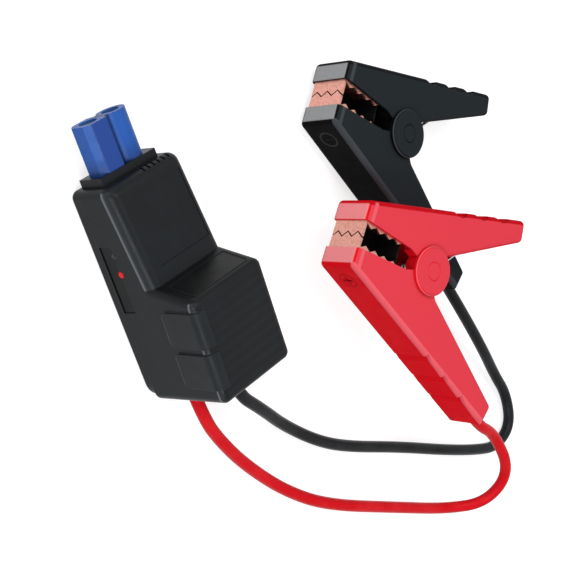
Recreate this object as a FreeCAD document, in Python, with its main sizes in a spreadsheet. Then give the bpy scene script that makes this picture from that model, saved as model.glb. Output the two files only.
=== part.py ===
import FreeCAD, Part
import math
import os
import re
import Sketcher

# Smart clamp lead of a jump starter: a control module with a two-barrel plug, two cords
# and two spring clamps. All lengths are millimetres and all angles degrees.

Vector = FreeCAD.Vector
Rotation = FreeCAD.Rotation
Placement = FreeCAD.Placement

SIZES = (
    # Where the groups lie on the surface
    ("module_x", -57.63),
    ("module_y", -51.3),
    ("module_turn", 47.5),
    ("red_x", 52.97),
    ("red_y", -6.9),
    ("red_high", 31.7),
    ("red_lean", 3.67),
    ("red_pitch", -2.9),
    ("black_x", 38.97),
    ("black_y", 49.7),
    # Control module
    ("case_long", 85.0),
    ("case_wide", 38.0),
    ("cover_high", 5.0),
    ("thin_high", 21.0),
    ("ledge_foot_high", 25.5),
    ("ledge_run", 5.3),
    ("block_high", 43.0),
    ("block_end_high", 41.4),
    ("case_wall", 2.0),
    ("cut_past", 1.0),
    ("inner_cut", 3.0),
    ("roof_wall", 3.0),
    ("cord_corner", 7.0),
    ("block_corner", 3.0),
    ("plug_corner", 4.0),
    ("left_plug_corner", 3.0),
    ("thin_edge", 4.5),
    ("block_edge", 2.8),
    ("cover_edge", 1.6),
    ("label_left", 11.0),
    ("label_right", 15.5),
    ("label_start", 6.0),
    ("label_end", 6.0),
    ("label_deep", 0.4),
    ("vent_count", 6.0),
    ("vent_first", 1.0),
    ("vent_pitch", 2.6),
    ("vent_wide", 0.9),
    ("vent_long", 1.2),
    ("vent_deep", 3.5),
    # Side panel and its lights
    ("panel_from", 37.0),
    ("panel_long", 26.5),
    ("panel_high", 6.2),
    ("panel_thick", 1.2),
    ("panel_sunk", 0.4),
    ("lens_round", 1.45),
    ("lens_long", 3.0),
    ("status_at", 52.4),
    ("mode_at", 59.7),
    # Grip pads on the housing's front left edge
    ("pad_thick", 0.9),
    ("pad_front", 4.2),
    ("pad_side", 17.5),
    ("pad_long", 14.2),
    ("pad_step", 16.6),
    ("pad_start", 3.6),
    ("pad_corner", 2.2),
    ("pad_rim", 0.3),
    # Collar and plug
    ("collar_wide", 28.0),
    ("collar_high", 12.0),
    ("collar_out", 3.2),
    ("collar_x", -1.0),
    ("collar_z", 9.5),
    ("barrel_round", 5.5),
    ("barrel_step", 11.3),
    ("barrel_out", 18.5),
    ("barrel_cut", 2.4),
    ("contact_round", 3.4),
    ("contact_bore", 2.5),
    ("contact_long", 17.0),
    ("contact_back", 12.0),
    ("contact_sunk", 1.0),
    ("flange_wall", 1.2),
    ("web_high", 6.0),
    # Inside the module
    ("board_gap", 0.3),
    ("board_margin", 2.8),
    ("board_thick", 1.6),
    ("board_high", 3.6),
    ("post_round", 2.6),
    ("screw_round", 1.25),
    ("screw_head", 2.3),
    ("screw_head_high", 1.2),
    ("screw_long", 8.0),
    ("screw_aside", 4.3),
    ("screw_inward", 8.0),
    ("relay_long", 24.0),
    ("relay_wide", 14.0),
    ("relay_high", 28.0),
    ("relay_clear", 2.9),
    ("relay_gap", 0.2),
    ("capacitor_round", 4.0),
    ("capacitor_high", 7.2),
    # Cords and glands
    ("cord_round", 2.55),
    ("gland_z", 14.0),
    ("gland_round", 3.8),
    ("gland_neck", 3.1),
    ("gland_out", 1.2),
    ("cord_in_case", 1.0),
    ("lug_round", 2.0),
    ("lug_gap", 0.6),
    ("case_lead", 11.3),
    ("red_lead", 7.65),
    ("black_lead", 15.0),
    # Clamp arms
    ("arm_wide", 20.0),
    ("jaw_reach", 42.5),
    ("jaw_outer", 14.0),
    ("jaw_lip", 6.0),
    ("jaw_back", 14.0),
    ("jaw_back_lip", 4.5),
    ("upper_end_x", 50.0),
    ("upper_end_y", 42.5),
    ("upper_inner_x", 51.5),
    ("upper_inner_y", 33.0),
    ("lower_end_x", 57.2),
    ("lower_end_y", 49.0),
    ("lower_inner_x", 60.0),
    ("lower_inner_y", 40.0),
    ("root_x", 5.8),
    ("root_y", 7.7),
    ("arm_edge", 2.2),
    ("arm_wall", 2.2),
    ("upper_wall", 2.9),
    ("lip_wall", 1.2),
    ("jaw_channel", 8.4),
    ("handle_channel", 7.5),
    ("middle_channel", 4.6),
    ("channel_lap", 3.0),
    ("channel_change", 13.0),
    ("end_wall", 4.5),
    ("ear_round", 9.3),
    ("ear_split", 6.2),
    ("run_gap", 0.3),
    ("layer_gap", 0.15),
    ("pin_round", 2.25),
    ("pin_gap", 0.05),
    ("grip_count", 3.0),
    ("grip_first", 54.7),
    ("grip_pitch", 13.3),
    ("grip_step", 0.5),
    ("grip_deep", 1.5),
    ("grip_foot", 4.3),
    ("grip_foot_deep", 0.45),
    ("grip_land", 0.4),
    ("scallop_count", 3.0),
    ("scallop_first", 15.5),
    ("scallop_pitch", 12.8),
    ("scallop_round", 4.8),
    ("scallop_deep", 2.3),
    ("mark_round", 4.2),
    ("mark_at", 9.0),
    ("mark_line", 0.8),
    ("mark_deep", 0.4),
    # Pivot caps
    ("cap_round", 10.3),
    ("cap_high", 2.5),
    ("cap_seat", 8.8),
    ("cap_ring", 3.8),
    ("cap_groove", 0.45),
    ("cap_edge", 0.9),
    ("cap_socket", 1.2),
    # Toothed metal jaws
    ("plate", 1.0),
    ("jaw_metal_back", 17.0),
    ("jaw_metal_deep", 10.0),
    ("tooth_count", 4.0),
    ("tooth_pitch", 5.6),
    ("tooth_top", 3.6),
    ("tooth_deep", 1.6),
    ("front_teeth", 3.0),
    ("front_tooth_deep", 2.2),
    ("bite_gap", 0.7),
    # Torsion spring
    ("wire_round", 0.65),
    ("coil_round", 4.6),
    ("coil_turns", 3.0),
    ("coil_pitch", 1.75),
    ("leg_long", 30.0),
    ("leg_angle", 50.0),
    ("rib_long", 5.0),
    ("rib_high", 3.0),
    # Cord terminal in the lower arm
    ("strap_wide", 5.0),
    ("strap_thick", 0.9),
    ("strap_lap", 8.0),
    ("strap_bend", 9.0),
    ("barrel_long", 8.0),
    ("cord_inside", 3.5),
    ("terminal_round", 2.9),
)

# Sizes that follow from the ones above, as sums of (times, name)

TO_LEDGE = ((1, "screw_inward"), (1, "post_round"), (1, "relay_clear"), (1, "relay_long"),
            (1, "relay_gap"), (1, "roof_wall"))
DERIVED = {
    "board_wide": ((1, "case_wide"), (-2, "case_wall"), (-2, "board_gap")),
    "screw_x": ((0.5, "case_wide"), (-1, "screw_aside")),
    "gland_x": ((0.5, "case_wide"), (-1, "screw_aside"), (-1, "post_round"), (-1, "lug_round"),
                (-1, "lug_gap")),
    "screw_y": ((0.5, "case_long"), (-1, "screw_inward")),
    "relay_start": ((1, "screw_inward"), (1, "post_round"), (1, "relay_clear")),
    "ledge_head": TO_LEDGE,
    "ledge_foot": TO_LEDGE + ((1, "ledge_run"),),
}
NAMES = set(name for name, number in SIZES)

doc = FreeCAD.newDocument("clamp_lead")
sheet = doc.addObject("Spreadsheet::Sheet", "dims")
for row, (name, number) in enumerate(SIZES, start=1):
    sheet.set(f"A{row}", name)
    sheet.set(f"B{row}", str(number))
    sheet.setAlias(f"B{row}", name)
doc.recompute()


def size(name):
    """A driving dimension, as the sheet holds it, or the sum of several."""
    if name in DERIVED:
        return sum(times * size(part) for times, part in DERIVED[name])
    return float(sheet.get(name))


def spelled(name):
    """A name as the expression that stands for it."""
    if name in DERIVED:
        return "(" + " + ".join(f"({times}) * {spelled(part)}" for times, part in DERIVED[name]) + ")"
    return f"<<dims>>.{name}" if name in NAMES else name


def bound(words):
    """The expression with each dimension's name led to the sheet."""
    return re.sub(r"[a-z][a-z_]*", lambda found: spelled(found[0]), words)


def sketch_on(body, name, role, lift="0"):
    """A sketch on one of the body's own origin planes, lifted along its normal."""
    sketch = body.newObject("Sketcher::SketchObject", name)
    plane = next(part for part in body.Origin.OriginFeatures if part.Role == role)
    sketch.AttachmentSupport = [(plane, "")]
    sketch.MapMode = "FlatFace"
    sketch.setExpression("AttachmentOffset.Base.z", bound(lift))
    return sketch


def ring_start(index, count):
    """A loose place for a corner before its distances pull it home."""
    angle = 2 * math.pi * index / count
    return Vector(10 * math.cos(angle), 10 * math.sin(angle), 0)


def pin_point(sketch, item, spot, across, along):
    """Hold one point of a sketch at two distances from the sketch's origin."""
    for kind, words, start in (("DistanceX", across, spot.x), ("DistanceY", along, spot.y)):
        index = sketch.addConstraint(Sketcher.Constraint(kind, -1, 1, item[0], item[1], start))
        sketch.setExpression(f"Constraints[{index}]", bound(words))


def outline(sketch, corners):
    """A closed outline of straight lines through corners given as expressions."""
    count = len(corners)
    first = sketch.GeometryCount
    for index in range(count):
        ends = (ring_start(index, count), ring_start((index + 1) % count, count))
        sketch.addGeometry(Part.LineSegment(*ends))
    for index in range(count):
        after = first + (index + 1) % count
        sketch.addConstraint(Sketcher.Constraint("Coincident", first + index, 2, after, 1))
    for index, (across, along) in enumerate(corners):
        pin_point(sketch, (first + index, 1), ring_start(index, count), across, along)


def box_outline(sketch, left, right, low, high):
    outline(sketch, [(left, low), (right, low), (right, high), (left, high)])


def circle(sketch, across, along, radius):
    """A circle whose centre and radius are expressions."""
    item = sketch.addGeometry(Part.Circle(Vector(0, 0, 0), Vector(0, 0, 1), 1.0))
    pin_point(sketch, (item, 3), Vector(0, 0, 0), across, along)
    index = sketch.addConstraint(Sketcher.Constraint("Radius", item, 1.0))
    sketch.setExpression(f"Constraints[{index}]", bound(radius))


def new_body(name):
    body = doc.addObject("PartDesign::Body", name)
    body.Label = name
    return body


def pad(body, sketch, length, middle=True, back=False):
    feature = body.newObject("PartDesign::Pad", sketch.Name + "_pad")
    feature.Profile = sketch
    feature.Midplane = middle
    feature.Reversed = back
    feature.setExpression("Length", bound(length))
    doc.recompute()
    return feature


def pocket(body, sketch, length, middle=True, back=False):
    """A pocket that must take material away."""
    before = body.Shape.Volume
    feature = body.newObject("PartDesign::Pocket", sketch.Name + "_cut")
    feature.Profile = sketch
    feature.Midplane = middle
    feature.Reversed = back
    feature.setExpression("Length", bound(length))
    doc.recompute()
    if not feature.Shape.Volume < before:
        raise ValueError(f"{body.Label}: {sketch.Name} cuts nothing")
    return feature


def turn_about_line(body, sketch, kind):
    """A full turn of a sketch about its first construction line."""
    before = 0.0 if body.Tip is None else body.Shape.Volume
    feature = body.newObject(kind, sketch.Name + "_turn")
    feature.Profile = sketch
    feature.ReferenceAxis = (sketch, ["Axis0"])
    feature.Angle = 360
    doc.recompute()
    if kind.endswith("Groove") and not feature.Shape.Volume < before:
        raise ValueError(f"{body.Label}: {sketch.Name} cuts nothing")
    return feature


def edge_names(shape, test):
    """Names of the edges whose middle and direction pass the test."""
    names = []
    for index, edge in enumerate(shape.Edges, start=1):
        if edge.Degenerated:
            continue
        middle = edge.valueAt((edge.FirstParameter + edge.LastParameter) / 2)
        along = edge.tangentAt((edge.FirstParameter + edge.LastParameter) / 2)
        if test(middle, along):
            names.append(f"Edge{index}")
    return names


def round_edges(body, name, radius, test):
    """A fillet on the edges that pass the test."""
    base = body.Tip
    names = edge_names(base.Shape, test)
    if not names:
        raise ValueError(f"{body.Label}: {name} finds no edge")
    feature = body.newObject("PartDesign::Fillet", name)
    feature.Base = (base, names)
    feature.setExpression("Radius", bound(radius))
    doc.recompute()
    return feature


def near(one, other, slack=0.05):
    return abs(one - other) < slack


def place(item, spot, parent):
    """Put an object at its place in a group that itself has a place."""
    item.Placement = parent.multiply(spot)


def feature_from(name, shape):
    item = doc.addObject("Part::Feature", name)
    item.Label = name
    item.Shape = shape
    return item


# Frames of the three groups

MODULE = Placement(
    Vector(size("module_x"), size("module_y"), 0),
    Rotation(Vector(0, 0, 1), size("module_turn")),
)
BLACK = Placement(
    Vector(size("black_x"), size("black_y"), size("arm_wide") / 2 + size("cap_high")),
    Rotation(),
)
RED = Placement(
    Vector(size("red_x"), size("red_y"), size("red_high")),
    Rotation(Vector(0, 1, 0), size("red_pitch")) * Rotation(Vector(1, 0, 0), size("red_lean")),
)
AT_HOME = Placement()


# Control module: its own x runs across, y runs from the cord end to the plug end

FAR_CUT = "inner_cut * (plug_corner - case_wall) / (cord_corner - case_wall)"


def hollow_plan(sketch, far, far_cut):
    """The case's inside in plan, with its corners cut to follow the rounded outside."""
    wide = "case_wide / 2 - case_wall"
    low = "-case_long / 2 + case_wall"
    cut = "inner_cut"
    outline(sketch, [
        (f"-({wide})", f"{low} + {cut}"), (f"-({wide}) + {cut}", low),
        (f"{wide} - {cut}", low), (wide, f"{low} + {cut}"),
        (wide, f"{far} - {far_cut}"), (f"{wide} - {far_cut}", far),
        (f"-({wide}) + {far_cut}", far), (f"-({wide})", f"{far} - {far_cut}"),
    ])


def rear_cover():
    """Tray with a floor, walls, four posts and four countersunk screw holes."""
    body = new_body("rear_cover")
    plan = sketch_on(body, "cover_plan", "XY_Plane")
    box_outline(plan, "-case_wide / 2", "case_wide / 2", "-case_long / 2", "case_long / 2")
    pad(body, plan, "cover_high", middle=False)
    half_long = size("case_long") / 2
    round_edges(body, "cord_corners", "cord_corner",
                lambda p, t: near(abs(t.z), 1) and near(p.y, -half_long))
    round_edges(body, "right_plug_corner", "plug_corner",
                lambda p, t: near(abs(t.z), 1) and near(p.y, half_long) and p.x > 0)
    round_edges(body, "left_plug_corner", "left_plug_corner",
                lambda p, t: near(abs(t.z), 1) and near(p.y, half_long) and p.x < 0)
    round_edges(body, "back_edge", "cover_edge", lambda p, t: near(p.z, 0))
    hollow = sketch_on(body, "cover_hollow", "XY_Plane", "cover_high")
    hollow_plan(hollow, "case_long / 2 - case_wall", FAR_CUT)
    pocket(body, hollow, "cover_high - case_wall", middle=False)
    posts = sketch_on(body, "posts", "XY_Plane", "case_wall")
    for across, along in screw_places():
        circle(posts, across, along, "post_round")
    pad(body, posts, "board_high - case_wall", middle=False)
    holes = sketch_on(body, "screw_holes", "XY_Plane", "board_high")
    for across, along in screw_places():
        circle(holes, across, along, "screw_round + pin_gap")
    pocket(body, holes, "board_high", middle=False)
    heads = sketch_on(body, "head_seats", "XY_Plane", "0")
    for across, along in screw_places():
        circle(heads, across, along, "screw_head + pin_gap")
    pocket(body, heads, "screw_head_high", middle=False, back=True)
    place(body, AT_HOME, MODULE)
    return body


def screw_places():
    return [(f"{i} * screw_x", f"{j} * screw_y") for i in (-1, 1) for j in (-1, 1)]


def front_housing():
    """Shell over the board: a thin part, a sloped ledge and a thick block."""
    body = new_body("front_housing")
    side = sketch_on(body, "side_view", "YZ_Plane")
    outline(side, [
        ("-case_long / 2", "cover_high"),
        ("case_long / 2", "cover_high"),
        ("case_long / 2", "thin_high"),
        ("ledge_foot - case_long / 2", "ledge_foot_high"),
        ("ledge_head - case_long / 2", "block_high"),
        ("-case_long / 2", "block_end_high"),
    ])
    pad(body, side, "case_wide")
    half_wide = size("case_wide") / 2
    half_long = size("case_long") / 2
    low = size("cover_high")
    ledge = size("ledge_foot") - half_long
    head = size("ledge_head") - half_long
    round_edges(body, "cord_corners", "block_corner",
                lambda p, t: near(abs(t.z), 1) and near(p.y, -half_long))
    round_edges(body, "right_plug_corner", "plug_corner",
                lambda p, t: near(abs(t.z), 1) and near(p.y, half_long) and p.x > 0)
    round_edges(body, "left_plug_corner", "left_plug_corner",
                lambda p, t: near(abs(t.z), 1) and near(p.y, half_long) and p.x < 0)
    round_edges(body, "thin_edges", "thin_edge",
                lambda p, t: low + 1 < p.z < size("ledge_foot_high") and p.y > ledge
                and near(abs(p.x), half_wide, 0.5) and abs(t.y) > 0.9)

    def on_block(p, t):
        on_side = near(abs(p.x), half_wide, 0.5)
        on_front_edge = on_side and p.y < head and abs(t.y) > 0.9
        on_ledge_side = on_side and head < p.y < ledge - 0.1 and p.z > size("ledge_foot_high") + 1
        on_ledge_head = near(p.y, head) and near(p.z, size("block_high")) and abs(t.x) > 0.9
        return p.z > low + 1 and (on_front_edge or on_ledge_side or on_ledge_head)

    round_edges(body, "block_edges", "block_edge", on_block)
    thin = sketch_on(body, "thin_hollow", "XY_Plane", "cover_high")
    hollow_plan(thin, "case_long / 2 - case_wall", FAR_CUT)
    pocket(body, thin, "thin_high - cover_high - roof_wall", middle=False, back=True)
    block = sketch_on(body, "block_hollow", "XY_Plane", "cover_high")
    hollow_plan(block, "ledge_head - case_long / 2 - roof_wall", "case_wall / 2")
    pocket(body, block, "block_end_high - cover_high - roof_wall", middle=False, back=True)
    for name, end, roof in (("plug_posts", 1, "thin_high"), ("cord_posts", -1, "block_end_high")):
        posts = sketch_on(body, name, "XY_Plane", "board_high + board_thick")
        for hand in (-1, 1):
            circle(posts, f"{hand} * screw_x", f"{end} * screw_y", "post_round")
        pad(body, posts, f"{roof} - board_high - board_thick - roof_wall / 2", middle=False)
    holes = sketch_on(body, "screw_threads", "XY_Plane", "board_high + board_thick")
    for across, along in screw_places():
        circle(holes, across, along, "screw_round + pin_gap")
    pocket(body, holes, "screw_long - board_high - board_thick + cut_past", middle=False, back=True)
    slope = "(ledge_foot_high - thin_high) / (case_long - ledge_foot)"
    label = sketch_on(body, "label_recess", "YZ_Plane", "-label_left")
    near_high = f"thin_high + (case_long - ledge_foot - label_start) * {slope}"
    far_high = f"thin_high + label_end * {slope}"
    outline(label, [
        ("ledge_foot + label_start - case_long / 2", f"{near_high} - label_deep"),
        ("case_long / 2 - label_end", f"{far_high} - label_deep"),
        ("case_long / 2 - label_end", f"{far_high} + label_deep"),
        ("ledge_foot + label_start - case_long / 2", f"{near_high} + label_deep"),
    ])
    pocket(body, label, "label_left + label_right", middle=False, back=True)
    window = sketch_on(body, "panel_seat", "YZ_Plane", "-case_wide / 2")
    box_outline(window, "panel_from - case_long / 2", "panel_from + panel_long - case_long / 2",
                "cover_high", "cover_high + panel_high")
    pocket(body, window, "panel_thick + panel_sunk", middle=False, back=True)
    lights = sketch_on(body, "light_holes", "YZ_Plane", "-case_wide / 2")
    for along in ("status_at", "mode_at"):
        circle(lights, f"{along} - case_long / 2", "cover_high + panel_high", "lens_round + pin_gap")
    pocket(body, lights, "case_wall + cut_past", middle=False, back=True)
    glands = sketch_on(body, "gland_holes", "XZ_Plane", "case_long / 2")
    for across in ("-gland_x", "gland_x"):
        circle(glands, across, "gland_z", "gland_neck")
    pocket(body, glands, "case_wall + cut_past", middle=False)
    mouth = sketch_on(body, "collar_hole", "XZ_Plane", "-case_long / 2")
    box_outline(mouth, "collar_x - collar_wide / 2 + case_wall", "collar_x + collar_wide / 2 - case_wall",
                "collar_z - collar_high / 2 + case_wall", "collar_z + collar_high / 2 - case_wall")
    pocket(body, mouth, "case_wall + cut_past", middle=False, back=True)
    vents = sketch_on(body, "vent_grooves", "XY_Plane", "thin_high + cut_past")
    for index in range(int(size("vent_count"))):
        left = f"vent_first + {index} * vent_pitch"
        box_outline(vents, left, f"{left} + vent_wide",
                    "case_long / 2 - vent_long", "case_long / 2 + cut_past")
    pocket(body, vents, "vent_deep + cut_past", middle=False)
    place(body, AT_HOME, MODULE)
    return body


def side_panel():
    """Dark panel sunk in the left side, with half-round notches for the lights."""
    body = new_body("side_panel")
    face = sketch_on(body, "panel_face", "YZ_Plane", "-case_wide / 2 + panel_sunk")
    box_outline(face, "panel_from - case_long / 2", "panel_from + panel_long - case_long / 2",
                "cover_high", "cover_high + panel_high")
    pad(body, face, "panel_thick", middle=False)
    notches = sketch_on(body, "light_notches", "YZ_Plane", "-case_wide / 2")
    for along in ("status_at", "mode_at"):
        circle(notches, f"{along} - case_long / 2", "cover_high + panel_high", "lens_round + pin_gap")
    pocket(body, notches, "case_wall + cut_past", middle=False, back=True)
    place(body, AT_HOME, MODULE)
    return body


def lens(name, along):
    """A short light guide with a domed outer end, flush with the case's side."""
    body = new_body(name)
    face = sketch_on(body, "lens_face", "YZ_Plane", "-case_wide / 2")
    circle(face, f"{along} - case_long / 2", "cover_high + panel_high", "lens_round")
    pad(body, face, "lens_long", middle=False)
    outer = -size("case_wide") / 2
    round_edges(body, "dome", "lens_round / 2", lambda p, t: near(p.x, outer) and abs(t.x) < 0.1)
    place(body, AT_HOME, MODULE)
    return body


def grip_pad(name, index):
    """A thin pad that wraps from the left side over the edge onto the front."""
    body = new_body(name)
    ring = sketch_on(body, "pad_end", "XZ_Plane")
    outline(ring, [
        ("-pad_thick", "-pad_side"),
        ("0", "-pad_side"),
        ("0", "0"),
        ("pad_front", "0"),
        ("pad_front", "pad_thick"),
        ("-pad_thick", "pad_thick"),
    ])
    pad(body, ring, "pad_long", middle=False)
    thick = size("pad_thick")
    foot = -size("pad_side")
    front = size("pad_front")
    bend = size("block_edge")
    round_edges(body, "inner_round", "block_edge", lambda p, t: near(p.x, 0) and near(p.z, 0))
    round_edges(body, "outer_round", "block_edge + pad_thick",
                lambda p, t: near(p.x, -thick) and near(p.z, thick))
    round_edges(body, "foot_corners", "pad_corner", lambda p, t: near(p.z, foot) and near(abs(t.x), 1))

    def on_rim(p, t):
        round_part = near(math.hypot(p.x - bend, p.z + bend), bend + thick)
        outer = near(p.x, -thick) or near(p.z, thick) or round_part
        return outer and (abs(t.y) < 0.9 or near(p.z, foot) or near(p.x, front))

    round_edges(body, "rim", "pad_rim", on_rim)
    fall = math.atan2(size("block_high") - size("block_end_high"), size("ledge_head"))
    head = size("ledge_head") - size("case_long") / 2
    back = size("pad_start") + index * size("pad_step")
    start = Vector(
        -size("case_wide") / 2,
        head - back * math.cos(fall),
        size("block_high") - back * math.sin(fall),
    )
    tilt = Rotation(Vector(1, 0, 0), math.degrees(fall))
    place(body, Placement(start, tilt), MODULE)
    return body


def plug_collar():
    """Rectangular frame on the end face, round the plug."""
    body = new_body("plug_collar")
    face = sketch_on(body, "collar_face", "XZ_Plane", "-case_long / 2")
    box_outline(face, "collar_x - collar_wide / 2", "collar_x + collar_wide / 2",
                "collar_z - collar_high / 2", "collar_z + collar_high / 2")
    box_outline(face, "collar_x - collar_wide / 2 + case_wall", "collar_x + collar_wide / 2 - case_wall",
                "collar_z - collar_high / 2 + case_wall", "collar_z + collar_high / 2 - case_wall")
    pad(body, face, "collar_out", middle=False, back=True)
    place(body, AT_HOME, MODULE)
    return body


def plug_body():
    """Two-barrel plug: the left barrel has flats, the right one is round."""
    body = new_body("plug_body")
    root = sketch_on(body, "root_block", "XZ_Plane", "-case_long / 2 - collar_out")
    box_outline(root, "collar_x - collar_wide / 2 + case_wall", "collar_x + collar_wide / 2 - case_wall",
                "collar_z - collar_high / 2 + case_wall", "collar_z + collar_high / 2 - case_wall")
    pad(body, root, "collar_out + case_wall", middle=False)
    flange = sketch_on(body, "root_flange", "XZ_Plane", "-case_long / 2 + case_wall")
    wide = "(barrel_step / 2 + contact_round + flange_wall)"
    box_outline(flange, f"collar_x - {wide}", f"collar_x + {wide}",
                "collar_z - collar_high / 2 + case_wall", "collar_z + contact_round + flange_wall")
    pad(body, flange, "contact_back - case_wall", middle=False)
    left = "collar_x - barrel_step / 2"
    right = "collar_x + barrel_step / 2"
    flats = sketch_on(body, "flat_barrel", "XZ_Plane", "-case_long / 2 - collar_out")
    outline(flats, [
        (f"{left} - barrel_round", "collar_z - barrel_round + barrel_cut"),
        (f"{left} - barrel_round + barrel_cut", "collar_z - barrel_round"),
        (f"{left} + barrel_round - barrel_cut / 2", "collar_z - barrel_round"),
        (f"{left} + barrel_round", "collar_z - barrel_round + barrel_cut"),
        (f"{left} + barrel_round", "collar_z + barrel_round - barrel_cut"),
        (f"{left} + barrel_round - barrel_cut / 2", "collar_z + barrel_round"),
        (f"{left} - barrel_round + barrel_cut", "collar_z + barrel_round"),
        (f"{left} - barrel_round", "collar_z + barrel_round - barrel_cut"),
    ])
    pad(body, flats, "barrel_out", middle=False, back=True)
    rounds = sketch_on(body, "round_barrel", "XZ_Plane", "-case_long / 2 - collar_out")
    circle(rounds, right, "collar_z", "barrel_round")
    pad(body, rounds, "barrel_out", middle=False, back=True)
    web = sketch_on(body, "barrel_web", "XZ_Plane", "-case_long / 2 - collar_out")
    box_outline(web, left, right, "collar_z - web_high / 2", "collar_z + web_high / 2")
    pad(body, web, "barrel_out", middle=False, back=True)
    bores = sketch_on(body, "contact_bores", "XZ_Plane", "-case_long / 2 - collar_out - barrel_out")
    for across in (left, right):
        circle(bores, across, "collar_z", "contact_round")
    pocket(body, bores, "barrel_out + collar_out + contact_back", middle=False, back=True)
    place(body, AT_HOME, MODULE)
    return body


def plug_contact(name, side):
    """Round socket contact inside one barrel."""
    body = new_body(name)
    across = f"collar_x + {side} * barrel_step / 2"
    end = "-case_long / 2 - collar_out - barrel_out + contact_sunk"
    tube = sketch_on(body, "contact_end", "XZ_Plane", end)
    circle(tube, across, "collar_z", "contact_round")
    pad(body, tube, "barrel_out + collar_out + contact_back - contact_sunk", middle=False)
    bore = sketch_on(body, "contact_mouth", "XZ_Plane", end)
    circle(bore, across, "collar_z", "contact_bore")
    pocket(body, bore, "contact_long", middle=False, back=True)
    place(body, AT_HOME, MODULE)
    return body


def circuit_board():
    """Board on the cover's posts, with a hole for each screw."""
    body = new_body("circuit_board")
    plan = sketch_on(body, "board_plan", "XY_Plane", "board_high")
    box_outline(plan, "-board_wide / 2", "board_wide / 2",
                "-screw_y - board_margin", "screw_y + board_margin")
    pad(body, plan, "board_thick", middle=False)
    holes = sketch_on(body, "board_holes", "XY_Plane", "board_high")
    for across, along in screw_places():
        circle(holes, across, along, "screw_round + pin_gap")
    pocket(body, holes, "board_thick", middle=False, back=True)
    place(body, AT_HOME, MODULE)
    return body


def relay(name, side):
    """Relay block that stands on the board under the thick block."""
    box = doc.addObject("Part::Box", name)
    box.Label = name
    for key, words in (("Length", "relay_wide"), ("Width", "relay_long"), ("Height", "relay_high")):
        box.setExpression(key, bound(words))
    left = side * (size("relay_wide") / 2 + size("run_gap")) - size("relay_wide") / 2
    along = size("relay_start") - size("case_long") / 2
    spot = Vector(left, along, size("board_high") + size("board_thick"))
    doc.recompute()
    place(box, Placement(spot, Rotation()), MODULE)
    return box


def capacitor():
    """Round can that stands on the board in the thin part."""
    can = doc.addObject("Part::Cylinder", "capacitor")
    can.Label = "capacitor"
    can.setExpression("Radius", bound("capacitor_round"))
    can.setExpression("Height", bound("capacitor_high"))
    spot = Vector(0, size("case_long") / 6, size("board_high") + size("board_thick"))
    doc.recompute()
    place(can, Placement(spot, Rotation()), MODULE)
    return can


def cover_screw(name, across, along):
    """Pan screw up through the cover's post and the board into the housing."""
    body = new_body(name)
    head = sketch_on(body, "head", "XY_Plane")
    circle(head, across, along, "screw_head")
    pad(body, head, "screw_head_high", middle=False)
    shank = sketch_on(body, "shank", "XY_Plane", "screw_head_high")
    circle(shank, across, along, "screw_round")
    pad(body, shank, "screw_long - screw_head_high", middle=False)
    slot = sketch_on(body, "driver_slot", "XY_Plane")
    circle(slot, across, along, "screw_round")
    pocket(body, slot, "screw_head_high / 2", middle=False, back=True)
    place(body, AT_HOME, MODULE)
    return body


def gland(name, side):
    """Cord grommet: a flange outside the end face and a neck through it."""
    body = new_body(name)
    across = f"{side} * gland_x"
    flange = sketch_on(body, "flange", "XZ_Plane", "case_long / 2")
    circle(flange, across, "gland_z", "gland_round")
    pad(body, flange, "gland_out", middle=False)
    neck = sketch_on(body, "neck", "XZ_Plane", "case_long / 2")
    circle(neck, across, "gland_z", "gland_neck")
    pad(body, neck, "case_wall", middle=False, back=True)
    bore = sketch_on(body, "cord_bore", "XZ_Plane", "case_long / 2 + gland_out")
    circle(bore, across, "gland_z", "cord_round + pin_gap")
    pocket(body, bore, "gland_out + case_wall", middle=False)
    outer = -(size("case_long") / 2 + size("gland_out"))
    wide = size("gland_round")
    middle = side * size("gland_x")
    round_edges(body, "flange_edge", "gland_out / 3", lambda p, t: near(p.y, outer)
                and near(math.hypot(p.x - middle, p.z - size("gland_z")), wide))
    place(body, AT_HOME, MODULE)
    return body


def case_lug(name, side):
    """Solid lug from the cord's end inside the case to the relay's end face."""
    stud = doc.addObject("Part::Cylinder", name)
    stud.Label = name
    stud.setExpression("Radius", bound("lug_round"))
    stud.setExpression("Height", bound("relay_start - case_wall - cord_in_case"))
    start = Vector(side * size("gland_x"), case_cord_end(), size("gland_z"))
    doc.recompute()
    place(stud, Placement(start, Rotation(Vector(1, 0, 0), -90)), MODULE)
    return stud


def case_cord_end():
    """Where both cords end inside the case, along the case's length."""
    return size("case_wall") + size("cord_in_case") - size("case_long") / 2


# One clamp: its own x runs from the jaws to the handles, y from the lower arm to the upper
# arm and z along the pivot. The lower arm carries the cord.

def arm_slope(end_x, end_y):
    """Fall of an arm's outer line for each millimetre towards the handle."""
    return f"({end_y} - jaw_outer) / ({end_x} + jaw_reach)"


def outer_line(along, end_x, end_y):
    """Distance of an arm's outer line from the clamp's middle, at one x."""
    return f"(jaw_outer + ({along} + jaw_reach) * {arm_slope(end_x, end_y)})"


def signed(side, words):
    return words if side > 0 else f"-({words})"


def channel(body, name, side, ends, x_from, x_to, open_at, half_wide):
    """A channel along an arm, open towards the other arm."""
    sketch = sketch_on(body, name, "XY_Plane")
    wall = "arm_wall" if side < 0 else "upper_wall"
    floor_from = f"{outer_line(x_from, *ends)} - {wall}"
    floor_to = f"{outer_line(x_to, *ends)} - {wall}"
    outline(sketch, [
        (x_from, signed(side, open_at)),
        (x_from, signed(side, floor_from)),
        (x_to, signed(side, floor_to)),
        (x_to, signed(side, open_at)),
    ])
    pocket(body, sketch, f"2 * ({half_wide})")


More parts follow.
